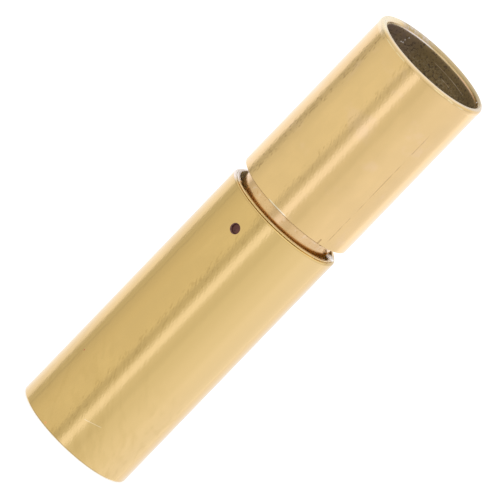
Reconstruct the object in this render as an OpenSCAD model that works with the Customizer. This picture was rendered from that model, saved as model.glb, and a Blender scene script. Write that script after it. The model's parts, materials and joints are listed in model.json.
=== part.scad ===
// Twist-lock clasp for a glued-in cord, standing on its socket end with +Z along the clasp.
// The plug's neck goes into the lined socket with its lug in the keyway. The liner and the plug
// then turn together, which brings the keyway under the catch pin, and the pin holds the lug in.
// The front is -Y. Angles are counted from the front towards +X, so those on the left are negative.

/* [Halves] */
// Outer diameter of both halves
tube_d = 7; // [6.6:0.1:8]
// Wall of both cord cups
wall = 0.32; // [0.3:0.01:0.36]
// Length of the socket half
socket_len = 16.1; // [15:0.1:20]
// Length of the plug half
plug_len = 10.44; // [8:0.01:14]
// Space between the two halves when closed
gap = 0.81; // [0.4:0.01:1.2]

/* [Cord cups] */
// Depth of the socket's cord cup
socket_cup_depth = 10; // [6:0.5:10]
// Thickness of the partition between the cord cup and the socket
partition_t = 0.8; // [0.4:0.1:1]
// Rounding of the socket's lower edges
foot_round = 0.08; // [0.02:0.01:0.1]

/* [Socket mouth] */
// Wall of the shell around the liner
mouth_wall = 0.16; // [0.14:0.01:0.18]
// Wall of the liner
liner_wall = 0.13; // [0.1:0.01:0.16]
// Height of the liner above the shell's rim
liner_proud = 0.07; // [0.02:0.01:0.15]
// Rounding of the shell's rim
rim_round = 0.12; // [0.04:0.01:0.13]
// Running clearance between pieces that turn or seat in each other
clearance = 0.02; // [0.01:0.005:0.03]

/* [Lock] */
// Diameter of the catch pin
pin_d = 0.56; // [0.4:0.02:0.6]
// Distance of the pin below the shell's rim
pin_drop = 1.52; // [1.2:0.02:1.8]
// Angle of the pin from the front
pin_angle = -23.9; // [-40:0.1:40]
// Recess of the pin's head in its hole
pin_recess = 0.1; // [0.04:0.01:0.12]
// Turn from the open to the locked position
lock_turn = 30.6; // [24:0.1:40]
// Width of the keyway in the liner
key_w = 0.8; // [0.8:0.05:0.9]
// Diameter of the lug on the neck
lug_d = 0.7; // [0.5:0.05:0.7]

/* [Plug] */
// Outer diameter of the neck
neck_d = 5.84; // [5.4:0.02:5.86]
// Wall of the neck
neck_wall = 0.28; // [0.2:0.01:0.4]
// Height of the neck's floor above the plug's lower rim
skirt = 1.05; // [0.6:0.05:1.6]
// Thickness of the neck's floor
floor_t = 0.5; // [0.3:0.05:0.8]
// Step in the plug's bore that the neck's floor seats against
seat_step = 0.16; // [0.1:0.01:0.16]
// Rounding of the plug's lower edge
skirt_round = 0.05; // [0.02:0.01:0.1]

/* [Hidden] */
$fn = 96;
gold = [0.85, 0.7, 0.43];
gold_deep = [0.78, 0.64, 0.38];
pink_gold = [0.82, 0.65, 0.46];
dark = [0.38, 0.25, 0.2];

// One length past a face, so that a cut goes clean through it
over = 0.5;
tube_r = tube_d / 2;
cup_r = tube_r - wall;
mouth_r = tube_r - mouth_wall;
liner_r = mouth_r - clearance;
liner_bore_r = liner_r - liner_wall;
socket_floor_z = socket_cup_depth + partition_t;
pin_z = socket_len - pin_drop;
pin_r = pin_d / 2;
neck_r = neck_d / 2;
lug_r = lug_d / 2;
key_angle = pin_angle - lock_turn;
// The lug passes just under the pin, with three clearances between them
lug_z = pin_z - pin_r - lug_r - 3 * clearance;
// The lug's end stays inside the shell's wall, corners included
lug_reach = sqrt(pow(mouth_r - clearance, 2) - lug_r * lug_r) - clearance;
plug_z = socket_len + gap;
plug_top = plug_z + plug_len;
seat_z = plug_z + skirt + floor_t;
lip_r = wall / 2;
seat_r = cup_r + seat_step;

// Ring profile from r0 to r1 and z0 to z1, with rounded corners at its lower end
module ring_rounded_below(r0, r1, z0, z1, round) {
    translate([r0, z0 + round]) square([r1 - r0, z1 - z0 - round]);
    translate([r0 + round, z0]) square([r1 - r0 - 2 * round, 2 * round]);
    for (r = [r0 + round, r1 - round]) translate([r, z0 + round]) circle(round);
}

// Ring profile with its outer corner rounded, at its upper end where up is 1 and its lower end where up is -1
module ring_rounded_outside(r0, r1, z0, z1, round, up) {
    body_z = up > 0 ? z0 : z0 + round;
    strip_z = up > 0 ? z1 - round : z0;
    corner_z = up > 0 ? z1 - round : z0 + round;
    translate([r0, body_z]) square([r1 - r0, z1 - z0 - round]);
    translate([r0, strip_z]) square([r1 - r0 - round, round]);
    intersection() {
        translate([r1 - round, corner_z]) circle(round);
        translate([r1 - round, strip_z]) square(round);
    }
}

// A round bar that points outwards at the given angle from the front, from r0 to r1
module radial_bar(angle, r, r0, r1) {
    rotate([0, 0, angle]) translate([0, -r0, 0]) rotate([90, 0, 0]) cylinder(r = r, h = r1 - r0);
}

// The socket half: cord cup below, partition, and the wider bore that takes the liner
module socket_shell() {
    color(gold_deep)
    difference() {
        union() {
            rotate_extrude() {
                ring_rounded_below(cup_r, tube_r, 0, socket_floor_z, foot_round);
                ring_rounded_outside(mouth_r, tube_r, socket_cup_depth, socket_len, rim_round, 1);
            }
            translate([0, 0, socket_cup_depth]) cylinder(r = cup_r + wall / 2, h = partition_t);
        }
        translate([0, 0, pin_z]) radial_bar(pin_angle, pin_r + clearance / 2, cup_r - wall, tube_r + over);
    }
}

// The liner: a sleeve with an open keyway, and a cross slot from the keyway that clears the pin
module socket_liner() {
    bottom = socket_floor_z + clearance;
    slot_h = pin_d + 4 * clearance;
    slot_end = asin((pin_r + 2 * clearance) / liner_bore_r);
    color(pink_gold)
    difference() {
        translate([0, 0, bottom]) difference() {
            cylinder(r = liner_r, h = socket_len + liner_proud - bottom);
            translate([0, 0, -over]) cylinder(r = liner_bore_r, h = socket_len);
        }
        rotate([0, 0, key_angle]) translate([-key_w / 2, -liner_r - over, lug_z - lug_r - 2 * clearance])
            cube([key_w, liner_wall + 2 * over, pin_drop + lug_d + pin_d + over]);
        rotate([0, 0, key_angle - 90]) rotate_extrude(angle = lock_turn + slot_end)
            translate([liner_bore_r - over, pin_z - slot_h / 2]) square([liner_wall + 2 * over, slot_h]);
    }
}

// The catch pin: its head is sunk in the hole and its end stops short of the neck
module catch_pin() {
    color(dark) translate([0, 0, pin_z]) radial_bar(pin_angle, pin_r, neck_r + 2 * clearance, tube_r - pin_recess);
}

// The plug half: cord cup with a round lip, and a slightly wider skirt that the neck's floor seats in
module plug_shell() {
    color(gold)
    rotate_extrude() {
        ring_rounded_outside(seat_r, tube_r, plug_z, seat_z, skirt_round, -1);
        translate([cup_r, seat_z]) square([wall, plug_top - lip_r - seat_z]);
        translate([cup_r + lip_r, plug_top - lip_r]) circle(lip_r);
    }
}

// The neck: a tube hung from the floor of the plug's cup, with one lug that runs in the keyway
module plug_neck() {
    floor_z = plug_z + skirt;
    bottom = socket_floor_z + 2 * clearance;
    color(pink_gold)
    union() {
        translate([0, 0, floor_z]) cylinder(r = seat_r - clearance, h = floor_t - clearance);
        difference() {
            union() {
                translate([0, 0, bottom]) cylinder(r = neck_r, h = floor_z + floor_t / 2 - bottom);
                translate([0, 0, lug_z]) radial_bar(key_angle, lug_r, neck_r - neck_wall, lug_reach);
            }
            translate([0, 0, bottom - over]) cylinder(r = neck_r - neck_wall, h = floor_z - bottom + over);
        }
    }
}

socket_shell();
socket_liner();
catch_pin();
plug_shell();
plug_neck();
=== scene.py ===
"""The looks of a twist-lock jewellery clasp: turned gilt tubes, a lined socket, a soldered neck and a studio.

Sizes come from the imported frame. Angles are counted from the front, which is -Y, towards +X.
"""

import itertools
import json
import math

import bmesh
import bpy
from bpy.props import FloatProperty, FloatVectorProperty, IntProperty, PointerProperty
from bpy.types import Operator, Panel, PropertyGroup
from mathutils import Matrix, Vector, noise


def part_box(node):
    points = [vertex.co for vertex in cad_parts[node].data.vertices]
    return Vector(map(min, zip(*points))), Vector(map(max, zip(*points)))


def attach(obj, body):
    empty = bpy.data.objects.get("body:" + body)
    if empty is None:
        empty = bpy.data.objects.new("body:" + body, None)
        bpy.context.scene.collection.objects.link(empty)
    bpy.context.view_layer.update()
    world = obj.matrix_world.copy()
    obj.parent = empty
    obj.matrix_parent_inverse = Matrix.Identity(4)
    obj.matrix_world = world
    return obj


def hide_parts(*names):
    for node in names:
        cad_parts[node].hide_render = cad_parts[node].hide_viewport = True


bl_info = {
    "name": "Twist-lock clasp",
    "version": (1, 0, 0),
    "blender": (4, 5, 0),
    "location": "View3D > Sidebar > Clasp",
    "description": "Builds the finished surfaces of a twist-lock clasp around its CAD frame",
    "category": "Object",
}

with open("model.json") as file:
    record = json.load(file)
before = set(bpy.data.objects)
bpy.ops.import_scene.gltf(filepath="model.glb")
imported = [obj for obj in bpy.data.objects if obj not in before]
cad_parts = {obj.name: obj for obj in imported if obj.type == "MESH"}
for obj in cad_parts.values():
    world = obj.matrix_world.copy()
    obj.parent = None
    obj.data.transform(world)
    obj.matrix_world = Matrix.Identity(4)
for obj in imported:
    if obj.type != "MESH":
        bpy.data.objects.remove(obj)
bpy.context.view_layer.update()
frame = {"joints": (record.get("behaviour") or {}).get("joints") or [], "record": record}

MM = 0.001
SHELL_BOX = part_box("socket_shell")
LINER_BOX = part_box("socket_liner")
PLUG_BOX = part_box("plug_shell")
NECK_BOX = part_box("plug_neck")
PIN_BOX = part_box("catch_pin")
MOUNTS = {mount["name"]: mount for mount in frame["record"]["mounts"]}
JOINTS = {joint["name"]: joint for joint in frame["joints"]}

TUBE_R = PLUG_BOX[1].x
CUP_R = MOUNTS["plug_cord_bore"]["dims"]["r_mm"] * MM
SOCKET_TOP = SHELL_BOX[1].z
LINER_TOP = LINER_BOX[1].z
PLUG_FOOT = PLUG_BOX[0].z
PLUG_TOP = PLUG_BOX[1].z
PIN_MIDDLE = (PIN_BOX[0] + PIN_BOX[1]) / 2
PIN_ANGLE = math.atan2(PIN_MIDDLE.x, -PIN_MIDDLE.y)
PIN_R = (PIN_BOX[1].z - PIN_BOX[0].z) / 2
KEY_ANGLE = PIN_ANGLE - math.radians(JOINTS["twist"]["range_deg"][1])

CLEARANCE = 0.02 * MM
MOUTH_R = LINER_BOX[1].x + CLEARANCE
LINER_WALL = 0.13 * MM
SOCKET_CUP_DEPTH = 10 * MM
PARTITION_TOP = LINER_BOX[0].z - CLEARANCE
SEAT_R = NECK_BOX[1].x + CLEARANCE
SEAT_Z = NECK_BOX[1].z + CLEARANCE
NECK_R = 2.92 * MM
NECK_WALL = 0.28 * MM
FLOOR_T = 0.48 * MM
LUG_R = 0.35 * MM
LUG_Z = PIN_MIDDLE.z - PIN_R - LUG_R - 3 * CLEARANCE
LUG_REACH = 3.28 * MM
KEY_WIDTH = 0.8 * MM
KEY_SKIN = 0.03 * MM

LIP_TALL = 0.26 * MM
LIP_BEAD = 0.018 * MM
LIP_INWARD = 0.07 * MM
LIP_EASE = 0.12 * MM
LIP_BACK = 0.9 * MM
LIP_LEDGE = 0.024 * MM
MOUTH_SHIFT = 0.06 * MM
NICK_BEARING = 99
RIPPLE_SIZE = 3.2 * MM

# An outline has a point this far from each end of a stretch, which keeps its edges crisp
EDGE_HOLD = 0.02 * MM
# The long shell's rows of facets stand further apart, so that it stays under 200,000 triangles
LONG_SPACING = 1.4
# Vertices closer than this are the same one
WELD = 0.0005 * MM

# Roughness of tarnish, and how metallic it is
TARNISHED = (0.42, 0.35)
# Colour, roughness and metal of the glare on the left of the socket's mouth
GLARE = ((1.0, 0.91, 0.87), 0.35, 0.4)
GRAIN_SCALE = 14000.0

PHOTO_PX = 500
SENSOR_MM = 36.0
VIEW_MIDDLE = Vector((-0.1 * MM, 0, 13.51 * MM))


def colour_setting(name, use, colour):
    """A setting that holds a colour."""
    return FloatVectorProperty(name=name, description=use, default=colour, subtype="COLOR")


def length_setting(name, use, length):
    """A setting that holds a length."""
    kind = {"precision": 6, "subtype": "DISTANCE", "unit": "LENGTH"}
    return FloatProperty(name=name, description=use, default=length, **kind)


def angle_setting(name, use, degrees):
    """A setting that holds an angle."""
    return FloatProperty(name=name, description=use, default=math.radians(degrees), subtype="ANGLE")


class ClaspSizes(PropertyGroup):
    """Sizes of the finish that the frame leaves open"""

    segments: IntProperty(name="Segments", description="Facets round a tube", default=256, min=48, max=320)
    ripple: FloatProperty(
        name="Ripple",
        description="Depth of the slow waves that polishing leaves in a wall, as a part of its radius",
        default=0.0011,
        min=0,
        max=0.01,
    )
    seam_depth: length_setting("Seam depth", "Depth of the rolled tube's seam in the plug", 0.007 * MM)
    solder_height: length_setting("Solder height", "How far the solder runs down from the plug's rim", 0.3 * MM)


class ClaspFinish(PropertyGroup):
    """Colours and polish of the metal"""

    plug_gilt: colour_setting("Plug gilt", "Metal colour of the plug", (0.855, 0.595, 0.255))
    socket_gilt: colour_setting("Socket gilt", "Metal colour of the socket", (0.775, 0.535, 0.2))
    neck_gilt: colour_setting("Neck gilt", "Metal colour of the neck", (0.84, 0.57, 0.27))
    liner_gilt: colour_setting("Liner gilt", "Metal colour of the liner", (0.84, 0.6, 0.3))
    tarnish: colour_setting("Tarnish", "Colour of the unpolished cups", (0.3, 0.212, 0.095))
    pin_brown: colour_setting("Pin", "Colour of the tarnished pin", (0.19, 0.085, 0.07))
    polish: FloatProperty(
        name="Polish", description="Roughness of the polished walls", default=0.1, min=0.02, max=0.6, subtype="FACTOR"
    )


class ClaspStudio(PropertyGroup):
    """Camera and surroundings"""

    elevation: angle_setting("Elevation", "Height of the camera above the horizon", 14.13)
    lean: angle_setting("Lean", "How far the clasp leans to the right in the picture", 43.96)
    distance: length_setting("Distance", "Camera's distance", 1.1)
    tube_px: FloatProperty(
        name="Tube width", description="Width of a tube in the picture, in pixels", default=136.0, subtype="PIXEL"
    )


def wall_point(angle, z, radius):
    """The point on a wall at an angle from the front."""
    return Vector((radius * math.sin(angle), -radius * math.cos(angle), z))


def new_object(name, data):
    """Links a mesh or a camera as an object of the scene."""
    thing = bpy.data.objects.new(name, data)
    bpy.context.scene.collection.objects.link(thing)
    return thing


def rounded(corners, steps=6):
    """Turns corners of (radius, z, rounding) into points, with each rounding as an arc."""
    points = []
    for i, (r, z, rounding) in enumerate(corners):
        here = Vector((r, z))
        if rounding <= 0 or i in (0, len(corners) - 1) and corners[0][:2] != corners[-1][:2]:
            points.append(here)
            continue
        before = (Vector(corners[i - 1][:2]) - here).normalized()
        after = (Vector(corners[(i + 1) % len(corners)][:2]) - here).normalized()
        half = before.angle(after) / 2
        middle = here + (before + after).normalized() * rounding / math.sin(half)
        start = here + before * rounding / math.tan(half) - middle
        turn = start.angle_signed(here + after * rounding / math.tan(half) - middle)
        points += [middle + Matrix.Rotation(-turn * k / steps, 2) @ start for k in range(steps + 1)]
    return points


def spaced(points, spacing, hold):
    """Splits long stretches of an outline, with one extra point close to each end to keep edges crisp."""
    result = [points[0]]
    for a, b in zip(points, points[1:]):
        length = (b - a).length
        if length > 4 * hold:
            count = max(1, round((length - 2 * hold) / spacing))
            stops = [hold + (length - 2 * hold) * k / count for k in range(count + 1)]
            result += [a.lerp(b, stop / length) for stop in stops]
        result.append(b)
    return result


def add(tree, kind, inputs=None, **settings):
    """Adds a node, with its properties and the values or sources of its inputs."""
    made = tree.nodes.new(kind)
    for key, value in settings.items():
        setattr(made, key, value)
    for key, value in (inputs or {}).items():
        if isinstance(value, bpy.types.NodeSocket):
            tree.links.new(value, made.inputs[key])
        else:
            made.inputs[key].default_value = value
    return made


def math_node(tree, operation, a, b=0.0):
    """A Math node's result."""
    return add(tree, "ShaderNodeMath", {0: a, 1: b}, operation=operation).outputs[0]


def turning_tree():
    """Geometry nodes that turn an outline in the XZ plane about Z, with a slow ripple in the walls."""
    name = "turned outline"
    if name in bpy.data.node_groups:
        return bpy.data.node_groups[name]
    tree = bpy.data.node_groups.new(name, "GeometryNodeTree")
    kinds = {"Outline": "Geometry", "Segments": "Int", "Rows": "Int"}
    kinds |= {"Ripple": "Float", "Ripple size": "Float", "Seed": "Float", "Material": "Material"}
    for label, kind in kinds.items():
        tree.interface.new_socket(label, in_out="INPUT", socket_type="NodeSocket" + kind)
    tree.interface.new_socket("Turned", in_out="OUTPUT", socket_type="NodeSocketGeometry")
    given = add(tree, "NodeGroupInput").outputs
    columns = math_node(tree, "ADD", given["Segments"], 1.0)
    values = {"Size X": 1.0, "Size Y": 1.0, "Vertices X": columns, "Vertices Y": given["Rows"]}
    grid = add(tree, "GeometryNodeMeshGrid", values)
    position = add(tree, "GeometryNodeInputPosition").outputs[0]
    place = add(tree, "ShaderNodeSeparateXYZ", {0: position}).outputs
    last_row = math_node(tree, "SUBTRACT", given["Rows"], 1.0)
    row = math_node(tree, "MULTIPLY", math_node(tree, "ADD", place["Y"], 0.5), last_row)
    values = {"Geometry": given["Outline"], "Index": math_node(tree, "ROUND", row)}
    sample = add(tree, "GeometryNodeSampleIndex", values, data_type="FLOAT_VECTOR")
    tree.links.new(position, next(s for s in sample.inputs if s.name == "Value" and s.enabled))
    outline = add(tree, "ShaderNodeSeparateXYZ", {0: sample.outputs[0]}).outputs
    angle = math_node(tree, "MULTIPLY", math_node(tree, "ADD", place["X"], 0.5), math.tau)
    back = math_node(tree, "MULTIPLY", math_node(tree, "COSINE", angle), -1.0)
    values = {
        "X": math_node(tree, "MULTIPLY", outline["X"], math_node(tree, "SINE", angle)),
        "Y": math_node(tree, "MULTIPLY", outline["X"], back),
        "Z": outline["Z"],
    }
    true_place = add(tree, "ShaderNodeCombineXYZ", values).outputs[0]
    scale = math_node(tree, "DIVIDE", 1.0, given["Ripple size"])
    values = {"Vector": true_place, "W": given["Seed"], "Scale": scale, "Detail": 3.0, "Roughness": 0.48}
    wave = add(tree, "ShaderNodeTexNoise", values, noise_dimensions="4D").outputs[0]
    swell = math_node(tree, "MULTIPLY", math_node(tree, "SUBTRACT", wave, 0.5), given["Ripple"])
    wider = math_node(tree, "ADD", swell, 1.0)
    growth = add(tree, "ShaderNodeCombineXYZ", {"X": wider, "Y": wider, "Z": 1.0}).outputs[0]
    grown = add(tree, "ShaderNodeVectorMath", {0: true_place, 1: growth}, operation="MULTIPLY").outputs[0]
    shape = grid.outputs[0]
    for kind, values in (
        ("GeometryNodeSetPosition", {"Position": grown}),
        ("GeometryNodeMergeByDistance", {"Distance": WELD}),
        ("GeometryNodeSetShadeSmooth", {}),
        ("GeometryNodeRealizeInstances", {}),
        ("GeometryNodeSetMaterial", {"Material": given["Material"]}),
    ):
        shape = add(tree, kind, {"Geometry": shape, **values}).outputs[0]
    add(tree, "NodeGroupOutput", {0: shape})
    return tree


def evaluated_mesh(thing):
    """A new mesh of an object as its modifiers make it."""
    depsgraph = bpy.context.evaluated_depsgraph_get()
    return bpy.data.meshes.new_from_object(thing.evaluated_get(depsgraph), depsgraph=depsgraph)


def turn(name, outline, material, segments, ripple, ripple_size, seed):
    """Turns an outline about Z into an object with a plain mesh."""
    rail = bpy.data.meshes.new(name)
    rail.from_pydata([(p.x, 0, p.y) for p in outline], [(i, i + 1) for i in range(len(outline) - 1)], [])
    rough = new_object(name + "_rail", rail)
    modifier = rough.modifiers.new("turned", "NODES")
    modifier.node_group = turning_tree()
    values = {"Segments": segments, "Rows": len(outline), "Ripple": ripple}
    values |= {"Ripple size": ripple_size, "Seed": seed, "Material": material}
    for item in modifier.node_group.interface.items_tree:
        if item.in_out == "INPUT" and item.name in values:
            modifier[item.identifier] = values[item.name]
    rough.update_tag()
    mesh = evaluated_mesh(rough)
    bpy.data.objects.remove(rough)
    mesh.name = name
    mesh.materials.clear()
    mesh.materials.append(material)
    made = new_object(name, mesh)
    reshape(made)
    return made


def reshape(thing, change=None):
    """Changes an object's mesh, then points its faces outwards."""
    bm = bmesh.new()
    bm.from_mesh(thing.data)
    if change:
        change(bm)
    bmesh.ops.recalc_face_normals(bm, faces=bm.faces)
    for face in bm.faces:
        face.smooth = True
        face.material_index = 0
    bm.to_mesh(thing.data)
    bm.free()


def hole_axes(angle):
    """The directions out of a wall and sideways along it, at an angle from the front."""
    return wall_point(angle, 0, 1), wall_point(angle + math.pi / 2, 0, 1)


def cut_ring(bm, angle, z, radius, wall_r, window):
    """Opens a round hole in a turned wall. Gives its edge in order, each vertex's bearing, and the edge's radius."""
    outward, sideways = hole_axes(angle)
    centre = Vector((0, 0, z))

    def local(point):
        arm = point - centre
        return arm.dot(sideways), arm.z, arm.dot(outward)

    def near(point):
        u, v, depth = local(point)
        off_wall = abs(math.hypot(point.x, point.y) - wall_r)
        return depth > 0 and abs(u) < window and abs(v) < window and off_wall < 0.02 * MM

    gone = {face for face in bm.faces if all(near(vert.co) for vert in face.verts)}
    rim = {edge for face in gone for edge in face.edges if sum(other in gone for other in edge.link_faces) == 1}
    bearing = {}
    for vert in {vert for edge in rim for vert in edge.verts}:
        u, v, depth = local(vert.co)
        bearing[vert] = math.atan2(v, u)
    bmesh.ops.delete(bm, geom=list(gone), context="FACES")
    loop = sorted(bearing, key=bearing.get)
    true_r = sum(math.hypot(vert.co.x, vert.co.y) for vert in loop) / len(loop)
    bearings = [bearing[vert] for vert in loop]
    for reach in (radius * 1.35, radius * 1.12):
        loop = add_ring(bm, loop, bearings, angle, z, reach, true_r)
    return loop, bearings, true_r


def add_ring(bm, loop, bearings, angle, z, radius, depth_r):
    """Adds a ring of faces between a loop and a circle about the hole's axis, on a cylinder of radius depth_r."""
    outward, sideways = hole_axes(angle)
    ring = []
    for turn_angle in bearings:
        u, v = radius * math.cos(turn_angle), radius * math.sin(turn_angle)
        depth = math.sqrt(depth_r * depth_r - u * u)
        ring.append(bm.verts.new(outward * depth + sideways * u + Vector((0, 0, z + v))))
    join_loops(bm, loop, ring)
    return ring


def join_loops(bm, first, second):
    """Fills the band between two loops of the same length."""
    for i in range(len(first)):
        j = (i + 1) % len(first)
        bm.faces.new((first[i], first[j], second[j], second[i]))


def round_edge(ease):
    """Steps along a quarter round: how far each is from where it ends, and from where it starts."""
    for k in range(5):
        lean = k / 4 * math.pi / 2
        yield ease * (1 - math.sin(lean)), ease * (1 - math.cos(lean))


def soft_noise(point, size, seed=0.0):
    """Smooth noise from -1 to 1 with features of the given size."""
    return noise.noise(point / size + Vector((seed, -seed, 2 * seed)))


def step_between(tree, value, low, high):
    """0 below low, 1 above high, smooth between."""
    inputs = {"Value": value, "From Min": low, "From Max": high}
    return add(tree, "ShaderNodeMapRange", inputs, interpolation_type="SMOOTHSTEP").outputs[0]


def blend_colour(tree, factor, a, b, mode="MIX"):
    """A Mix node's colour, from a where factor is 0 to b where it is 1."""
    mix = add(tree, "ShaderNodeMix", {0: factor, 6: a, 7: b}, data_type="RGBA", blend_type=mode)
    return mix.outputs[2]


def blend_value(tree, factor, a, b):
    """A Mix node's number, from a where factor is 0 to b where it is 1."""
    return add(tree, "ShaderNodeMix", {0: factor, 2: a, 3: b}, data_type="FLOAT").outputs[0]


def bearing_node(tree, parts):
    """The angle of a place from the front, towards +X."""
    return math_node(tree, "ARCTAN2", parts["X"], math_node(tree, "MULTIPLY", parts["Y"], -1.0))


def rgba(colour, gain=1.0):
    """A colour with alpha, brightened by gain."""
    return tuple(min(1.0, part * gain) for part in colour) + (1.0,)


class Metal:
    """A metal's material while it is made. Each layer covers the ones before it."""

    def __init__(self, name, colour, roughness, mottle):
        self.material = bpy.data.materials.new(name)
        self.material.use_nodes = True
        self.tree = self.material.node_tree
        self.place = add(self.tree, "ShaderNodeTexCoord").outputs["Object"]
        parts = add(self.tree, "ShaderNodeSeparateXYZ", {0: self.place}).outputs
        flat = add(self.tree, "ShaderNodeCombineXYZ", {"X": parts["X"], "Y": parts["Y"]}).outputs[0]
        self.across = parts["X"]
        self.height = parts["Z"]
        self.radius = add(self.tree, "ShaderNodeVectorMath", {0: flat}, operation="LENGTH").outputs["Value"]
        self.bearing = bearing_node(self.tree, parts)
        clouds = self.blotches(2.4, 0.35, 0.68)
        grain = self.blotches(0.38, 0.35, 0.7, (1, 1, 0.35))
        base = blend_colour(self.tree, clouds, rgba(colour, 1 - mottle), rgba(colour, 1 + mottle / 2))
        self.colour = blend_colour(self.tree, self.part(grain, 0.35), base, rgba(colour, 1 - 1.3 * mottle))
        self.roughness = blend_value(self.tree, clouds, roughness * 0.85, roughness * 1.2)
        self.bare = None

    def blotches(self, size, low, high, stretch=(1, 1, 1)):
        """Soft blotches of a size in mm: 0 where the noise is below low and 1 where it is above high."""
        mapped = add(self.tree, "ShaderNodeMapping", {"Vector": self.place, "Scale": stretch}).outputs[0]
        values = {"Vector": mapped, "Scale": 1 / (size * MM), "Detail": 4.0, "Roughness": 0.55}
        cloud = add(self.tree, "ShaderNodeTexNoise", values)
        return step_between(self.tree, cloud.outputs[0], low, high)

    def strokes(self, width, length, slant):
        """Noise drawn out into brush strokes, sized in mm, which lean left by slant in degrees at the front."""
        values = {"Vector": self.place, "Rotation": (0, math.radians(-slant), 0), "Scale": (1, 1, length / width)}
        turned = add(self.tree, "ShaderNodeMapping", values, vector_type="TEXTURE").outputs[0]
        values = {"Vector": turned, "Scale": 1 / (width * MM), "Detail": 2.0}
        return add(self.tree, "ShaderNodeTexNoise", values).outputs[0]

    def scratches(self):
        """Fine scratches that lie along the brush strokes."""
        return step_between(self.tree, self.strokes(0.1, 0.4, 26), 0.54, 0.66)

    def opposite(self, mask):
        """1 where mask is 0, and 0 where it is 1."""
        return math_node(self.tree, "SUBTRACT", 1.0, mask)

    def span(self, low, high, soft, value=None):
        """1 where value, or else the height, is between low and high, fading to 0 over soft on both sides."""
        value = self.height if value is None else value
        rise = step_between(self.tree, value, low - soft, low)
        return math_node(self.tree, "SUBTRACT", rise, step_between(self.tree, value, high, high + soft))

    def band(self, level, low, high, soft):
        """1 between two heights, fading to 0 over soft. These three are in mm, from a level."""
        return self.span(level + low * MM, level + high * MM, soft * MM)

    def above(self, level, low, high):
        """0 below low and 1 above high, both heights in mm from a level."""
        return step_between(self.tree, self.height, level + low * MM, level + high * MM)

    def sector(self, first, last, soft):
        """1 between two bearings, fading to 0 over soft. All three are in degrees."""
        return self.span(math.radians(first), math.radians(last), math.radians(soft), self.bearing)

    def part(self, *masks):
        """The product of masks and numbers."""
        product = masks[0]
        for mask in masks[1:]:
            product = math_node(self.tree, "MULTIPLY", product, mask)
        return product

    def within(self, radius, soft):
        """1 closer to the axis than radius, fading to 0 over soft."""
        return self.opposite(step_between(self.tree, self.radius, radius, radius + soft))

    def spot(self, bearing, z, wall_r, size):
        """A soft round spot on a wall, at a bearing in degrees."""
        values = {0: self.place, 1: wall_point(math.radians(bearing), z, wall_r)}
        away = add(self.tree, "ShaderNodeVectorMath", values, operation="DISTANCE").outputs["Value"]
        return self.opposite(step_between(self.tree, away, size * 0.6, size * 1.2))

    def cover(self, mask, colour, roughness, bare=1.0):
        """Covers the metal where a mask, or a tuple's product, is 1. bare is how metallic the cover is."""
        if isinstance(mask, tuple):
            mask = self.part(*mask)
        self.colour = blend_colour(self.tree, mask, self.colour, rgba(colour))
        self.roughness = blend_value(self.tree, mask, self.roughness, roughness)
        if bare < 1 or self.bare is not None:
            self.bare = blend_value(self.tree, mask, 1.0 if self.bare is None else self.bare, bare)

    def finish(self, depth=None, grain_depth=0.0, left_depth=None):
        """Joins the layers to the shader. Depths add brush strokes, which can be coarser on the left, and grain."""
        shader = self.tree.nodes["Principled BSDF"].inputs
        join = self.tree.links.new
        join(self.colour, shader["Base Color"])
        join(self.roughness, shader["Roughness"])
        if self.bare is None:
            shader["Metallic"].default_value = 1.0
        else:
            join(self.bare, shader["Metallic"])
        if depth is None:
            return self.material
        marks = self.strokes(0.11, 0.4, 28)
        if left_depth:
            left = self.sector(-74, -50, 5)
            marks = blend_value(self.tree, left, marks, self.strokes(0.17, 0.4, 24))
            depth = blend_value(self.tree, left, depth, left_depth)
        values = {"Vector": self.place, "Scale": GRAIN_SCALE, "Detail": 2.0}
        grain = add(self.tree, "ShaderNodeTexNoise", values).outputs[0]
        bump = add(self.tree, "ShaderNodeBump", {"Distance": depth, "Height": marks}).outputs[0]
        values = {"Distance": grain_depth, "Height": grain, "Normal": bump}
        join(add(self.tree, "ShaderNodeBump", values).outputs[0], shader["Normal"])
        return self.material


def cup_wall_r(z):
    """The radius of the plug's cup at a height. It narrows under the lip."""
    share = min(1.0, max(0.0, (PLUG_TOP - LIP_TALL - z) / LIP_BACK))
    return CUP_R - LIP_INWARD * (1 - share * share * (3 - 2 * share))


def stain_cup(look, tarnish, low, high):
    """Brown tarnish inside a cord cup, from low to high: purplish on the left, darker on the right, with specks."""
    inside = look.part(look.within(CUP_R + 0.02 * MM, 0.05 * MM), look.span(low, high, 0.03 * MM))
    left = look.opposite(step_between(look.tree, look.across, -2.2 * MM, -0.6 * MM))
    right = step_between(look.tree, look.across, 0.8 * MM, 2.4 * MM)
    purple = (tarnish[0] * 0.93, tarnish[1] * 0.95, tarnish[2] * 1.6)
    look.cover(inside, tarnish, *TARNISHED)
    look.cover((inside, left), purple, *TARNISHED)
    look.cover((inside, right), [p * 0.84 for p in tarnish], *TARNISHED)
    look.cover((inside, look.blotches(0.7, 0.45, 0.7), 0.5), [p * 1.5 for p in tarnish], 0.36, 0.4)
    deeper = look.opposite(look.band(high, -0.3, 0, 0.5))
    light_grain = look.blotches(0.11, 0.5, 0.6, (1, 1, 1.6))
    look.cover((inside, deeper, light_grain, 0.55), (0.52, 0.43, 0.27), 0.4, 0.3)
    look.cover((inside, look.blotches(0.13, 0.54, 0.62), 0.65), (0.06, 0.04, 0.022), 0.6, 0.1)


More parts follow.
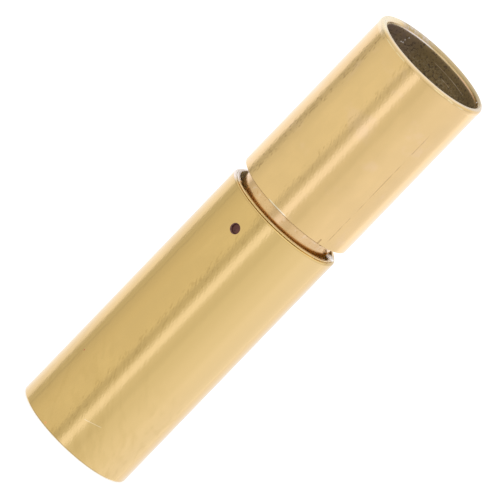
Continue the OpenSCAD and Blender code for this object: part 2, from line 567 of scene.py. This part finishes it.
def scratch_cup(look, high):
    """Two rubbed lines, the first one stronger in its middle, and four pale crumbs, all in mm below a height."""
    wall = look.within(CUP_R + 0.02 * MM, 0.02 * MM)
    for depth, first, last, strength in ((0.42, 135, 178, 0.55), (0.42, 149, 157, 0.7), (0.77, 153, 163, 0.75)):
        line = look.band(high, -depth, 0.014 - depth, 0.014)
        broken = look.blotches(0.6, 0.35, 0.55)
        look.cover((line, look.sector(first, last, 2), broken, wall, strength), (0.9, 0.75, 0.52), 0.3, 0.4)
    for bearing, depth in ((-145, 0.26), (-143.5, 0.47), (-141.9, 0.68), (-144.1, 0.66)):
        z = high - depth * MM
        look.cover(look.spot(bearing, z, cup_wall_r(z), 0.045 * MM), (1, 0.95, 0.9), 0.6, 0.0)


def plug_gilt(finish, seam_angle, seam_low, seam_high):
    """Polished gilt with light and pinkish patches, a dark seam line, scratches darkened as painted reflection, a
    painted shade line and a painted glint at the rim's foot, a lip with painted highlights, painted shade and a nick,
    painted light and shade at the mouth's tips, and a tarnished cup.
    """
    look = Metal("plug gilt", finish.plug_gilt, finish.polish, 0.035)
    look.cover((look.blotches(1.5, 0.56, 0.72), 0.4), (0.88, 0.62, 0.34), 0.12)
    # Real scratches, painted dark only at the bearings where the dark cards reflect: their darkness there is a
    # painted reflection.
    scratches = look.scratches()
    look.cover((scratches, look.sector(-60, -52, 5), 0.6), (0.5, 0.33, 0.12), 0.2)
    look.cover((scratches, look.sector(-17, -11, 3), 0.35), (0.6, 0.4, 0.15), 0.2)
    broken = look.blotches(0.4, 0.42, 0.55, (1, 1, 0.4))
    on_line = look.span(seam_angle - 0.006, seam_angle + 0.006, 0.006, look.bearing)
    look.cover((on_line, look.span(seam_low, seam_high, MM), broken, 0.4), (0.4, 0.24, 0.09), 0.35, 0.8)
    # Painted shade: a dark brown line on the rounding under the plug's rim, standing in for the shade and dark
    # reflection under the rim.
    foot = look.band(PLUG_FOOT, -1, 0.02, 0.03)
    look.cover((foot, look.sector(-140, 37, 3), 0.7), (0.36, 0.2, 0.07), 0.35, 0.7)
    # Painted glint: a pale streak on the rim's foot at the front, standing in for a highlight.
    rim_glint = look.band(PLUG_FOOT, 0.03, 0.09, 0.02)
    look.cover((rim_glint, look.sector(-18, -2, 3.5), 0.8), (1.0, 0.86, 0.58), 0.25)
    hook = look.band(PLUG_FOOT, 0, 0.3, 0.05)
    look.cover((look.sector(37.5, 38.5, 0.6), hook, 0.6), (0.38, 0.22, 0.08), 0.35, 0.8)
    # Painted shade: a duller band below the crest across the front of the lip, dimming its reflection.
    brow = look.band(PLUG_TOP, -0.1, -0.07, 0.03)
    look.cover((brow, look.sector(-40, 36, 12), 0.8), (0.72, 0.55, 0.32), 0.18)
    # Painted highlight: a paler, creamy colour round the lip's crest.
    look.cover((look.above(PLUG_TOP, -0.065, -0.02), 0.7), (0.8, 0.675, 0.53), 0.18)
    # Painted highlight: broken yellow lines along the foot of the lip's bead.
    outside = step_between(look.tree, look.radius, TUBE_R - 0.06 * MM, TUBE_R - 0.03 * MM)
    for first, last, depth in ((-45, -20, 0.185), (18, 34, 0.12), (34, 50, 0.16)):
        line = look.band(PLUG_TOP, -depth - 0.015, 0.015 - depth, 0.02)
        bead_glint = (line, outside, look.sector(first, last, 4), look.blotches(0.5, 0.36, 0.5))
        look.cover(bead_glint, (1.0, 0.81, 0.44), 0.2)
    inner = look.within((CUP_R + TUBE_R) / 2 - 0.05 * MM, 0.05 * MM)
    lip_inside = look.part(inner, look.above(PLUG_TOP, -0.2, -0.13))
    left_part = look.sector(-125, -85, 12)
    look.cover((lip_inside, look.opposite(left_part), 0.8), (0.44, 0.34, 0.18), 0.25, 0.7)
    # Painted reflection: a pale, whitish-lilac patch on the inside of the lip at the back left.
    pale = look.part(look.sector(-162, -132, 9), look.blotches(0.3, 0.4, 0.6))
    look.cover((lip_inside, pale, 0.5), (0.66, 0.6, 0.6), 0.35, 0.5)
    # The bright line at the lip's inner edge: a gilt edge, with its whitish, orange and left stretches painted
    # highlight.
    inner_line = look.part(inner, look.band(PLUG_TOP, -0.26, -0.2, 0.015))
    look.cover((inner_line, 0.9), (0.78, 0.6, 0.34), 0.25)
    look.cover((inner_line, look.sector(120, 150, 8)), (0.86, 0.58, 0.37), 0.25)
    look.cover((inner_line, look.sector(-165, -125, 10)), (1.0, 0.9, 0.8), 0.25)
    look.cover((inner_line, left_part), (1.0, 0.88, 0.62), 0.25, 0.7)
    # Painted light: a pale cream wash inside the mouth on the left, where the inner wall catches light.
    look.cover((look.sector(-118, -62, 14), look.above(PLUG_TOP, -0.5, 0), 0.75), (1.0, 0.87, 0.6), 0.25, 0.7)
    stain_cup(look, finish.tarnish, SEAT_Z, PLUG_TOP - 0.265 * MM)
    scratch_cup(look, PLUG_TOP - 0.26 * MM)
    # Painted light: a pale spot inside the mouth's left tip. Painted shade: a darker spot inside its right tip.
    tip = (PLUG_TOP - 0.24 * MM, CUP_R - LIP_INWARD)
    look.cover((look.spot(-96, *tip, 0.2 * MM), 0.7), (0.95, 0.8, 0.56), 0.35, 0.5)
    look.cover((look.spot(86, *tip, 0.22 * MM), inner, 0.85), [p * 0.7 for p in finish.tarnish], 0.4, 0.3)
    nick_z = PLUG_TOP - 0.14 * MM
    look.cover(look.spot(NICK_BEARING, nick_z, CUP_R, 0.07 * MM), (0.25, 0.16, 0.09), 0.5, 0.3)
    look.cover(look.spot(NICK_BEARING + 10, nick_z, CUP_R, 0.06 * MM), (1.0, 0.98, 0.95), 0.5, 0.2)
    return look.finish(0.004 * MM, 0.003 * MM, 0.006 * MM)


def socket_gilt(finish):
    """Yellower gilt, lighter and darker by bearing as painted light and shade, with faint streaks low down, two
    specks, a light scratch, scratches darkened as painted reflection, painted shade on the front of the rim, a
    painted glare on its left, and a brown seam at the mouth painted as the seam's shade.
    """
    look = Metal("socket gilt", finish.socket_gilt, finish.polish, 0.05)
    tree = look.tree
    # Painted light and shade: lighter and darker sectors of the gilt by bearing.
    for first, last, soft, colour in (
        (5, 140, 25, (0.8, 0.565, 0.222)),
        (42, 58, 9, (0.85, 0.605, 0.25)),
        (-49, -37, 5, (0.74, 0.508, 0.187)),
        (-58, -54, 2, (0.85, 0.59, 0.22)),
        (68, 95, 5, (0.69, 0.47, 0.17)),
    ):
        look.cover(look.sector(first, last, soft), colour, 0.1)
    low_down = look.part(look.band(0, 0.2, 4, 3), look.sector(-140, 140, 17))
    streaks = step_between(tree, look.strokes(0.4, 2.6, 44), 0.42, 0.72)
    look.cover((streaks, low_down, 0.25), (0.64, 0.43, 0.14), 0.15)
    # Real scratches, painted dark only at the bearings where the narrow card reflects: their darkness there is a
    # painted reflection.
    look.cover((look.scratches(), look.sector(-17, -10, 3), 0.35), (0.54, 0.36, 0.12), 0.2)
    look.cover(look.spot(-49.9, 4.16 * MM, TUBE_R, 0.05 * MM), (0.45, 0.1, 0.04), 0.5, 0.3)
    look.cover((look.spot(-25.7, 0.17 * MM, TUBE_R, 0.08 * MM), 0.6), (0.9, 0.4, 0.15), 0.4, 0.6)
    slope = 0.26 * MM / math.radians(14)
    rise = math_node(tree, "MULTIPLY", math_node(tree, "ADD", look.bearing, math.radians(2.5)), slope)
    off_line = math_node(tree, "SUBTRACT", look.height, math_node(tree, "ADD", rise, 1.84 * MM))
    scratch = look.span(-0.01 * MM, 0.01 * MM, 0.012 * MM, off_line)
    look.cover((scratch, look.sector(-2.5, 11.5, 1), 0.7), (1.0, 0.84, 0.5), 0.3)
    # Painted shade: the rim's rounding made duller at the front, hiding its yellow reflection; on the left it gets a
    # painted glare.
    rim = look.above(SOCKET_TOP, -0.12, -0.06)
    look.cover((rim, look.sector(-60, -8, 6), 0.7), (0.62, 0.42, 0.16), 0.22)
    look.cover((rim, look.sector(-125, -74, 16), 0.8), *GLARE)
    # Painted shade: brown in the seam between the shell's mouth and the liner, with a lighter stretch on the left as
    # painted light.
    near_axis = look.within(MOUTH_R + 0.02 * MM, 0.02 * MM)
    mouth = look.part(near_axis, look.above(SOCKET_TOP, -1, -0.8), look.sector(-68, 80, 11))
    look.cover((mouth, 0.9), (0.55, 0.3, 0.08), 0.45, 0.35)
    look.cover((mouth, look.sector(-62, -36, 4)), (0.95, 0.72, 0.36), 0.45, 0.35)
    hole = look.spot(math.degrees(PIN_ANGLE), PIN_MIDDLE.z, TUBE_R - 0.08 * MM, PIN_R + 0.2 * MM)
    look.cover((hole, look.within(TUBE_R - 0.006 * MM, 0.004 * MM)), (0.23, 0.11, 0.09), 0.7, 0.1)
    stain_cup(look, finish.tarnish, 0.3 * MM, SOCKET_CUP_DEPTH + 0.2 * MM)
    return look.finish(0.0035 * MM, 0.003 * MM, 0.0045 * MM)


def liner_gilt(finish):
    """A bright drawn edge, with the walls inside the mouth coloured for the gap's warm brown shade as painted shade,
    painted light on the left, and a painted glare on the edge's left.
    """
    look = Metal("liner gilt", finish.liner_gilt, 0.2, 0.08)
    # Painted shade: the walls in the gap get a dull, less metallic yellow, which makes the gap's shade warm brown.
    # Painted light: lighter on the left and a pale grey at the left end, where the gap looks lit.
    walls = look.span(0, LINER_TOP - 0.06 * MM, 0.04 * MM)
    look.cover((walls, 0.9), (0.94, 0.76, 0.31), 0.4, 0.5)
    look.cover((walls, look.sector(-62, -44, 3)), (1.0, 0.8, 0.45), 0.4, 0.5)
    look.cover((walls, look.sector(-125, -66, 6)), (0.85, 0.88, 0.8), 0.5, 0.3)
    look.cover((look.opposite(walls), look.sector(-125, -74, 16), 0.8), *GLARE)
    return look.finish()


def neck_gilt(finish):
    """Satin gilt with fine speckle, painted shade where it goes down into the socket, and a solder drop painted white
    as a highlight.
    """
    look = Metal("neck gilt", finish.neck_gilt, 0.2, 0.08)
    shown = look.above(LINER_TOP, 0.04, 0.2)
    look.cover((look.blotches(0.12, 0.56, 0.66), shown, 0.45), (0.62, 0.36, 0.13), 0.3)
    look.cover((look.blotches(0.3, 0.6, 0.72), 0.4), (0.92, 0.74, 0.52), 0.25)
    # Painted shade: a duller, less metallic coat low on the neck, in the gap over the liner, which makes the gap's
    # shade warm brown.
    low = look.span(0, LINER_TOP - 0.22 * MM, 0.18 * MM)
    look.cover((low, look.sector(-46, 150, 8), 0.95), (0.88, 0.6, 0.24), 0.35, 0.6)
    out = step_between(look.tree, look.radius, NECK_R + 0.01 * MM, NECK_R + 0.06 * MM)
    solder = look.part(out, look.span(LINER_TOP, PLUG_FOOT, 0.03 * MM), look.sector(36, 95, 3))
    look.cover((solder, 0.7), (0.92, 0.72, 0.46), 0.3, 0.8)
    # Painted highlight: the solder drop painted near-white.
    out = step_between(look.tree, look.radius, NECK_R + 0.04 * MM, NECK_R + 0.09 * MM)
    burr = look.part(out, look.band(LINER_TOP, -0.1, 0.3, 0.02), look.sector(71, 90, 1.5))
    look.cover(burr, (1.0, 0.96, 0.93), 0.5, 0.1)
    look.cover(look.span(NECK_BOX[1].z - 0.1 * MM, PLUG_TOP, 0.05 * MM), finish.tarnish, *TARNISHED)
    return look.finish(look.part(shown, 0.0016 * MM), look.part(shown, 0.0014 * MM))


def pin_brown(finish):
    """Dull brown tarnish with darker pits."""
    look = Metal("pin brown", finish.pin_brown, 0.45, 0.25)
    look.cover((look.blotches(0.12, 0.55, 0.65), 0.6), (0.04, 0.02, 0.015), 0.6, 0.5)
    return look.finish(0.003 * MM, 0.002 * MM)


def dress(piece, body, node):
    """Lets a piece stand for a CAD node and ride on its body."""
    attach(piece, body)
    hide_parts(node)


class CLASP_OT_socket_shell(Operator):
    """Turns the socket's shell, with its foot, its rounded rim and the pin's hole"""

    bl_idname = "clasp.socket_shell"
    bl_label = "Socket shell"

    def execute(self, context):
        sizes, finish = context.scene.clasp_sizes, context.scene.clasp_finish
        gilt = socket_gilt(finish)
        corners = [
            (0, SOCKET_CUP_DEPTH, 0),
            (CUP_R, SOCKET_CUP_DEPTH, 0.05 * MM),
            (CUP_R, 0, 0.08 * MM),
            (TUBE_R, 0, 0.08 * MM),
            (TUBE_R, SOCKET_TOP, 0.12 * MM),
            (MOUTH_R, SOCKET_TOP, 0.02 * MM),
            (MOUTH_R, PARTITION_TOP, 0.05 * MM),
            (0, PARTITION_TOP, 0),
        ]
        outline = spaced(rounded(corners), LONG_SPACING * math.tau * TUBE_R / sizes.segments, EDGE_HOLD)
        shell = turn("socket_shell_dressed", outline, gilt, sizes.segments, sizes.ripple, RIPPLE_SIZE, seed=3.0)

        def drill(bm):
            where = (PIN_ANGLE, PIN_MIDDLE.z)
            edge_r = PIN_R + 0.01 * MM
            outer, bearings, outer_r = cut_ring(bm, *where, edge_r, TUBE_R, PIN_R * 1.75)
            for wider, deeper in round_edge(0.025 * MM):
                outer = add_ring(bm, outer, bearings, *where, edge_r + wider, outer_r - deeper)
            bm.faces.new(add_ring(bm, outer, bearings, *where, edge_r, MOUTH_R + 0.012 * MM))

        reshape(shell, drill)
        dress(shell, "socket", "socket_shell")
        return {"FINISHED"}


class CLASP_OT_socket_liner(Operator):
    """Rolls the socket's liner, with its keyway and the cross slot for the pin"""

    bl_idname = "clasp.socket_liner"
    bl_label = "Socket liner"

    def execute(self, context):
        finish = context.scene.clasp_finish
        outer_r = MOUTH_R - 0.009 * MM
        inner_r = LINER_BOX[1].x - LINER_WALL
        key_half = math.asin(KEY_WIDTH / 2 / inner_r)
        slot_end = PIN_ANGLE + math.asin((PIN_R + 2 * CLEARANCE) / inner_r)
        slot_low = PIN_MIDDLE.z - PIN_R - 2 * CLEARANCE
        slot_high = PIN_MIDDLE.z + PIN_R + 2 * CLEARANCE
        key_low = LUG_Z - LUG_R - 2 * CLEARANCE
        turn_steps = 200
        stops = [-math.pi + math.tau * k / turn_steps for k in range(turn_steps)]
        edges = [KEY_ANGLE - key_half, KEY_ANGLE + key_half, slot_end]
        stops = [s for s in stops if all(abs(s - e) > 0.6 * math.tau / turn_steps for e in edges)]
        stops = sorted(stops + edges)
        rows = [LINER_BOX[0].z, key_low, slot_low, slot_high, LINER_TOP - 0.1 * MM, LINER_TOP]
        rings = [inner_r, outer_r - KEY_SKIN, outer_r]
        columns, row_count = len(stops), len(rows) - 1

        def is_solid(column, row, layer):
            """Whether the liner fills a cell. A thin skin closes the keyway's outside above the cross slot."""
            if not (0 <= row < row_count and 0 <= layer < len(rings) - 1):
                return False
            middle_z = (rows[row] + rows[row + 1]) / 2
            middle_a = stops[column % columns] + 0.001
            in_key = KEY_ANGLE - key_half <= middle_a < KEY_ANGLE + key_half and middle_z > key_low
            in_slot = KEY_ANGLE + key_half <= middle_a < slot_end and slot_low < middle_z < slot_high
            is_skin = in_key and middle_z > slot_high and layer == 1
            return is_skin or not (in_key or in_slot)

        bm = bmesh.new()
        grid = [[[bm.verts.new(wall_point(a, z, r)) for r in rings] for z in rows] for a in stops]
        for cell in itertools.product(range(columns), range(row_count), range(len(rings) - 1)):
            if not is_solid(*cell):
                continue
            for axis, step in itertools.product(range(3), (-1, 1)):
                if is_solid(*(c + step * (i == axis) for i, c in enumerate(cell))):
                    continue
                side = []
                for u, v in ((0, 0), (1, 0), (1, 1), (0, 1)):
                    offset = [u, v]
                    offset.insert(axis, int(step > 0))
                    column, row, layer = (c + o for c, o in zip(cell, offset))
                    side.append(grid[column % columns][row][layer])
                bm.faces.new(side)
        bmesh.ops.delete(bm, geom=[v for v in bm.verts if not v.link_faces], context="VERTS")
        mesh = bpy.data.meshes.new("socket_liner_dressed")
        bm.to_mesh(mesh)
        bm.free()
        liner = new_object("socket_liner_dressed", mesh)
        mesh.materials.append(liner_gilt(finish))
        reshape(liner)
        bevel = liner.modifiers.new("eased edges", "BEVEL")
        bevel.width = 0.012 * MM
        bevel.segments = 2
        bevel.limit_method = "ANGLE"
        bevel.angle_limit = math.radians(50)
        eased = evaluated_mesh(liner)
        liner.modifiers.clear()
        liner.data = eased
        dress(liner, "liner", "socket_liner")
        return {"FINISHED"}


class CLASP_OT_catch_pin(Operator):
    """Turns the small domed pin that sits sunk in the shell's wall"""

    bl_idname = "clasp.catch_pin"
    bl_label = "Catch pin"

    def execute(self, context):
        finish = context.scene.clasp_finish
        head_r = TUBE_R - 0.1 * MM
        inner_r = NECK_R + 2 * CLEARANCE
        corners = [
            (0, inner_r, 0),
            (PIN_R, inner_r, 0.05 * MM),
            (PIN_R, head_r - 0.04 * MM, 0.04 * MM),
            (0, head_r, 0),
        ]
        outline = spaced(rounded(corners), 0.05 * MM, 0.01 * MM)
        pin = turn("catch_pin_dressed", outline, pin_brown(finish), 48, 0.01, 0.15 * MM, seed=5.0)
        lie = wall_point(PIN_ANGLE, 0, 1).to_track_quat("Z", "Y").to_matrix().to_4x4()
        pin.data.transform(Matrix.Translation((0, 0, PIN_MIDDLE.z)) @ lie)
        dress(pin, "socket", "catch_pin")
        return {"FINISHED"}


def lip_section():
    """The rolled lip: a squarish round from its bead over the crest, a sloping ledge, then back to the cup's wall."""
    inner_r = CUP_R - LIP_INWARD + LIP_LEDGE
    half = (TUBE_R + LIP_BEAD - inner_r) / 2
    middle = Vector((inner_r + half, PLUG_TOP - LIP_TALL))
    squareness = 0.82
    points = []
    for k in range(31):
        lean = math.pi * k / 32
        across = math.copysign(abs(math.cos(lean)) ** squareness, math.cos(lean))
        points.append(middle + Vector((half * across, LIP_TALL * math.sin(lean) ** squareness)))
    for k in range(13):
        z = PLUG_TOP - LIP_TALL - LIP_BACK * k / 12
        points.append(Vector((cup_wall_r(z), z)))
    return points


class CLASP_OT_plug_shell(Operator):
    """Turns the plug's cup, with its round lip, its rolled seam and the wear of use"""

    bl_idname = "clasp.plug_shell"
    bl_label = "Plug shell"

    def execute(self, context):
        sizes, finish = context.scene.clasp_sizes, context.scene.clasp_finish
        seam_low, seam_high = PLUG_FOOT + 0.8 * MM, PLUG_FOOT + 7.4 * MM
        pitch = math.tau / sizes.segments
        column = round(math.radians(45.6) / pitch) * pitch
        gilt = plug_gilt(finish, column, seam_low, seam_high)
        corners = [
            (SEAT_R, SEAT_Z, 0),
            (SEAT_R, PLUG_FOOT, 0.03 * MM),
            (TUBE_R, PLUG_FOOT, 0.05 * MM),
            (TUBE_R, PLUG_TOP - LIP_TALL - LIP_EASE, 0),
        ]
        points = rounded(corners, 8) + lip_section() + [Vector((CUP_R, SEAT_Z))]
        outline = spaced(points + points[:1], math.tau * TUBE_R / sizes.segments, EDGE_HOLD)
        shell = turn("plug_shell_dressed", outline, gilt, sizes.segments, sizes.ripple, RIPPLE_SIZE, seed=8.0)
        nick = wall_point(math.radians(NICK_BEARING), PLUG_TOP, CUP_R + 0.06 * MM)

        def wear(bm):
            for vert in bm.verts:
                x, y, z = vert.co
                radius, angle = math.hypot(x, y), math.atan2(x, -y)
                off = (angle - column) / pitch
                if radius > TUBE_R - 0.02 * MM and abs(off) < 1.5 and seam_low < z < seam_high:
                    fade = min(1.0, (z - seam_low) / MM, (seam_high - z) / (2 * MM))
                    if abs(off) < 0.5:
                        vert.co = wall_point(angle, z, radius - sizes.seam_depth * fade)
                    else:
                        vert.co = wall_point(column + off * 0.45 * pitch, z, radius)
                dent = math.exp(-(((vert.co - nick).length / (0.16 * MM)) ** 2))
                vert.co.z -= 0.05 * MM * dent
                inward = min(1.0, max(0.0, (CUP_R + 0.12 * MM - radius) / (0.16 * MM)))
                under = min(1.0, max(0.0, (vert.co.z - PLUG_TOP + LIP_TALL + LIP_BACK) / LIP_BACK))
                vert.co.x += MOUTH_SHIFT * inward * under

        reshape(shell, wear)
        dress(shell, "plug", "plug_shell")
        return {"FINISHED"}


class CLASP_OT_plug_neck(Operator):
    """Turns the neck and its floor, with the lug and the run of solder under the plug's rim"""

    bl_idname = "clasp.plug_neck"
    bl_label = "Plug neck"

    def execute(self, context):
        sizes, finish = context.scene.clasp_sizes, context.scene.clasp_finish
        satin = neck_gilt(finish)
        flange_r, top, foot = NECK_BOX[1].x, NECK_BOX[1].z, NECK_BOX[0].z
        floor_z = top - FLOOR_T
        corners = [
            (0, top, 0),
            (flange_r, top, 0.03 * MM),
            (flange_r, floor_z, 0.03 * MM),
            (NECK_R, floor_z, 0.05 * MM),
            (NECK_R, foot, 0.08 * MM),
            (NECK_R - NECK_WALL, foot, 0.08 * MM),
            (NECK_R - NECK_WALL, floor_z, 0.1 * MM),
            (0, floor_z, 0),
        ]
        outline = spaced(rounded(corners), math.tau * NECK_R / sizes.segments, EDGE_HOLD)
        neck = turn("plug_neck_dressed", outline, satin, sizes.segments, sizes.ripple * 2, 2 * MM, seed=12.0)

        def add_lug(bm):
            loop, bearings, wall_r = cut_ring(bm, KEY_ANGLE, LUG_Z, LUG_R, NECK_R, LUG_R * 1.6)
            loop = add_ring(bm, loop, bearings, KEY_ANGLE, LUG_Z, LUG_R, wall_r)
            outward, level = wall_point(KEY_ANGLE, 0, 1), Vector((0, 0, LUG_Z))
            root = [vert.co.copy() for vert in loop]
            for lower, narrower in round_edge(0.05 * MM):
                reach, shrink = LUG_REACH - lower, (LUG_R - narrower) / LUG_R
                ring = []
                for point in root:
                    flat = point - outward * point.dot(outward) - level
                    ring.append(bm.verts.new(flat * shrink + outward * reach + level))
                join_loops(bm, loop, ring)
                loop = ring
            bm.faces.new(loop)
            add_solder(bm, sizes.solder_height)
            add_burr(bm)

        reshape(neck, add_lug)
        dress(neck, "plug", "plug_neck")
        return {"FINISHED"}


def add_solder(bm, height):
    """Adds the hollow run of solder that slopes from the neck out to the plug's rim on the right."""
    start, end = math.radians(38), math.radians(70)
    steps, sides = 90, 10
    inner_r = NECK_R - 0.03 * MM
    buried_z = PLUG_FOOT + 0.12 * MM
    loops = []
    for k in range(steps + 1):
        share = k / steps
        angle = start + (end - start) * share
        swell = max(0.04, math.sin(math.pi * share) ** 0.4)
        lump = 1 + 0.35 * soft_noise(wall_point(angle, 0, TUBE_R), 0.2 * MM, 3.1)
        reach = (TUBE_R - 0.012 * MM - inner_r) * swell
        drop = height * swell * lump
        section = []
        for side in range(sides + 1):
            lean = math.pi / 2 * side / sides
            z = PLUG_FOOT + 0.02 * MM - drop * (1 - math.sin(lean))
            section.append((z, inner_r + reach * (1 - math.cos(lean))))
        section += [(buried_z, inner_r + reach), (buried_z, inner_r)]
        loops.append([bm.verts.new(wall_point(angle, z, r)) for z, r in section])
    for first, second in zip(loops, loops[1:]):
        join_loops(bm, first, second)
    bm.faces.new(loops[0])
    bm.faces.new(loops[-1])


def add_burr(bm):
    """Adds the small drop of solder that stands out from the neck, just over the liner on the right."""
    angle = math.radians(78)
    middle = wall_point(angle, LINER_TOP + 0.16 * MM, NECK_R + 0.26 * MM)
    outward = wall_point(angle, 0, 1)
    drop = bmesh.ops.create_icosphere(bm, subdivisions=4, radius=1.0)["verts"]
    for vert in drop:
        lump = 1 + 0.15 * soft_noise(vert.co, 0.8, 5.3)
        away = vert.co.dot(outward)
        point = vert.co * 0.13 * MM + outward * away * 0.15 * MM
        vert.co = middle + point * lump


# Stops of light round the clasp: angle from the front, brightness, extra blue
SKY = (
    (-180, 1.05, 0.0),
    # Left sheet
    (-150, 1.18, 0.1), (-136, 1.13, 0.2), (-126, 1.09, 0.2),
    # Left card
    (-116, 0.62, 0.0), (-107, 0.64, 0.0),
    # Left wall
    (-98, 0.78, 0.0), (-74, 0.87, 0.0), (-31.5, 0.89, 0.0),
    # Narrow card
    (-24.5, 0.69, 0.0), (-17.5, 0.75, 0.0),
    # Lamp, and the front beside it
    (-7, 1.15, 0.26), (-1.5, 1.15, 0.26), (5, 0.845, 0.05), (18, 0.8, 0.03),
    # Right wall
    (29, 0.885, 0.07), (66, 0.985, 0.16),
    # Right sheet
    (110, 0.96, 0.2), (121, 0.99, 0.17),
    # Behind on the right
    (136, 1.23, 0.17), (150, 1.18, 0.1), (180, 1.05, 0.0),
)
# The same from straight down to straight up, by the angle above the horizon
HEIGHTS = (
    # Dark floor
    (-90, 0.8, 0.0), (-53, 0.68, 0.0),
    # Cards
    (-27, 1.0, 0.0), (-8, 1.0, 0.0),
    # Horizon
    (-3, 0.86, 0.0), (8, 0.84, 0.0),
    # Back wall and ceiling
    (14, 0.93, 0.0), (32, 0.93, 0.0), (50, 1.1, 0.0), (90, 1.12, 0.0),
)
# How much more light the surroundings give to dull surfaces than reflections show
FILL_LIGHT = 0.25


def sweep_light(tree, angle, reach, rows):
    """A ramp of light over an angle from -reach to reach, both in degrees, with a stop for each row."""
    limit = math.radians(reach)
    share = add(tree, "ShaderNodeMapRange", {"Value": angle, "From Min": -limit, "From Max": limit}).outputs[0]
    ramp = add(tree, "ShaderNodeValToRGB", {0: share})
    ramp.color_ramp.interpolation = "EASE"
    stops = ramp.color_ramp.elements
    while len(stops) > 1:
        stops.remove(stops[-1])
    for k, (degrees, light, blue) in enumerate(rows):
        place = (degrees + reach) / (2 * reach)
        stop = stops[0] if k == 0 else stops.new(place)
        stop.position = place
        stop.color = (light, light * (1 + blue / 10), light * (1 + blue), 1)
    return ramp.outputs[0]


def build_world():
    """Soft surroundings: sheets and cards stand round the clasp, white light comes from above."""
    world = bpy.data.worlds.new("soft studio")
    bpy.context.scene.world = world
    world.use_nodes = True
    tree = world.node_tree
    tree.nodes.clear()
    way = add(tree, "ShaderNodeTexCoord").outputs["Generated"]
    parts = add(tree, "ShaderNodeSeparateXYZ", {0: way}).outputs
    above = math_node(tree, "ARCSINE", parts["Z"])
    over_cards = step_between(tree, above, math.radians(3), math.radians(24))
    around = sweep_light(tree, bearing_node(tree, parts), 180, SKY)
    around = blend_colour(tree, over_cards, around, (1, 1, 1, 1))
    around = blend_colour(tree, 1.0, around, sweep_light(tree, above, 90, HEIGHTS), "MULTIPLY")
    path = add(tree, "ShaderNodeLightPath").outputs
    shown = blend_colour(tree, path["Is Camera Ray"], around, (1, 1, 1, 1))
    fill = math_node(tree, "ADD", 1.0, math_node(tree, "MULTIPLY", path["Is Diffuse Ray"], FILL_LIGHT))
    glow = add(tree, "ShaderNodeBackground", {"Color": shown, "Strength": fill})
    add(tree, "ShaderNodeOutputWorld", {"Surface": glow.outputs[0]})


def build_floor():
    """A plain pale floor under the clasp, which glows like a light table."""
    half = 0.6
    drop = 0.02 * MM
    mesh = bpy.data.meshes.new("floor")
    corners = [(-half, -half, -drop), (half, -half, -drop), (half, half, -drop), (-half, half, -drop)]
    mesh.from_pydata(corners, [], [(0, 1, 2, 3)])
    floor = new_object("floor", mesh)
    pale = bpy.data.materials.new("pale floor")
    pale.use_nodes = True
    tree = pale.node_tree
    shader = tree.nodes["Principled BSDF"].inputs
    place = add(tree, "ShaderNodeTexCoord").outputs["Object"]
    tone = add(tree, "ShaderNodeTexNoise", {"Vector": place, "Scale": 40.0, "Detail": 2.0}).outputs[0]
    pale_grey = blend_colour(tree, tone, (0.54, 0.54, 0.54, 1), (0.56, 0.56, 0.56, 1))
    tree.links.new(pale_grey, shader["Base Color"])
    shader["Roughness"].default_value = 0.9
    shader["Specular IOR Level"].default_value = 0.2
    shader["Emission Color"].default_value = (1, 1, 1, 1)
    shader["Emission Strength"].default_value = 0.62
    mesh.materials.append(pale)
    floor.visible_glossy = False


def build_camera(studio):
    """The camera: a long lens a little above the clasp, rolled so that the clasp leans to the right."""
    px = 2 * TUBE_R / studio.tube_px
    rise, along = math.sin(studio.elevation), math.cos(studio.elevation)
    back = Vector((0, -along, rise))
    level_up = Vector((0, rise, along))
    level_right = Vector((1, 0, 0))
    right = level_right * math.cos(studio.lean) + level_up * math.sin(studio.lean)
    up = level_up * math.cos(studio.lean) - level_right * math.sin(studio.lean)
    data = bpy.data.cameras.new("camera")
    data.sensor_width = SENSOR_MM
    data.lens = SENSOR_MM * studio.distance / (PHOTO_PX * px)
    data.clip_start, data.clip_end = 0.01, 10
    camera = new_object("camera", data)
    rolled = Matrix((right, up, back)).transposed().to_4x4()
    camera.matrix_world = Matrix.Translation(VIEW_MIDDLE + back * studio.distance) @ rolled
    bpy.context.scene.camera = camera


class CLASP_OT_stage(Operator):
    """Sets up the floor, the surroundings and the camera"""

    bl_idname = "clasp.stage"
    bl_label = "Stage"

    def execute(self, context):
        build_world()
        build_floor()
        build_camera(context.scene.clasp_studio)
        context.scene.view_settings.view_transform = "Standard"
        context.scene.view_settings.look = "None"
        return {"FINISHED"}


class CLASP_PT_build(Panel):
    """Lists the clasp's pieces and settings"""

    bl_idname = "CLASP_PT_build"
    bl_label = "Twist-lock clasp"
    bl_space_type = "VIEW_3D"
    bl_region_type = "UI"
    bl_category = "Clasp"

    def draw(self, context):
        layout = self.layout
        for group in (context.scene.clasp_sizes, context.scene.clasp_finish, context.scene.clasp_studio):
            box = layout.box()
            for name in group.__annotations__:
                box.prop(group, name)
        for operator in OPERATORS:
            layout.operator(operator.bl_idname)


GROUPS = {"clasp_sizes": ClaspSizes, "clasp_finish": ClaspFinish, "clasp_studio": ClaspStudio}
OPERATORS = (
    CLASP_OT_stage,
    CLASP_OT_socket_shell,
    CLASP_OT_socket_liner,
    CLASP_OT_catch_pin,
    CLASP_OT_plug_shell,
    CLASP_OT_plug_neck,
)
CLASSES = (*GROUPS.values(), *OPERATORS, CLASP_PT_build)


def register():
    """Registers the classes and hangs the settings on the scene."""
    for cls in CLASSES:
        bpy.utils.register_class(cls)
    for name, group in GROUPS.items():
        setattr(bpy.types.Scene, name, PointerProperty(type=group))


def unregister():
    """Takes the settings and the classes away again."""
    for name in GROUPS:
        delattr(bpy.types.Scene, name)
    for cls in reversed(CLASSES):
        bpy.utils.unregister_class(cls)


def main():
    """Builds the stage and every piece."""
    register()
    bpy.ops.clasp.stage()
    bpy.ops.clasp.socket_shell()
    bpy.ops.clasp.socket_liner()
    bpy.ops.clasp.catch_pin()
    bpy.ops.clasp.plug_shell()
    bpy.ops.clasp.plug_neck()


if __name__ == "__main__":
    main()
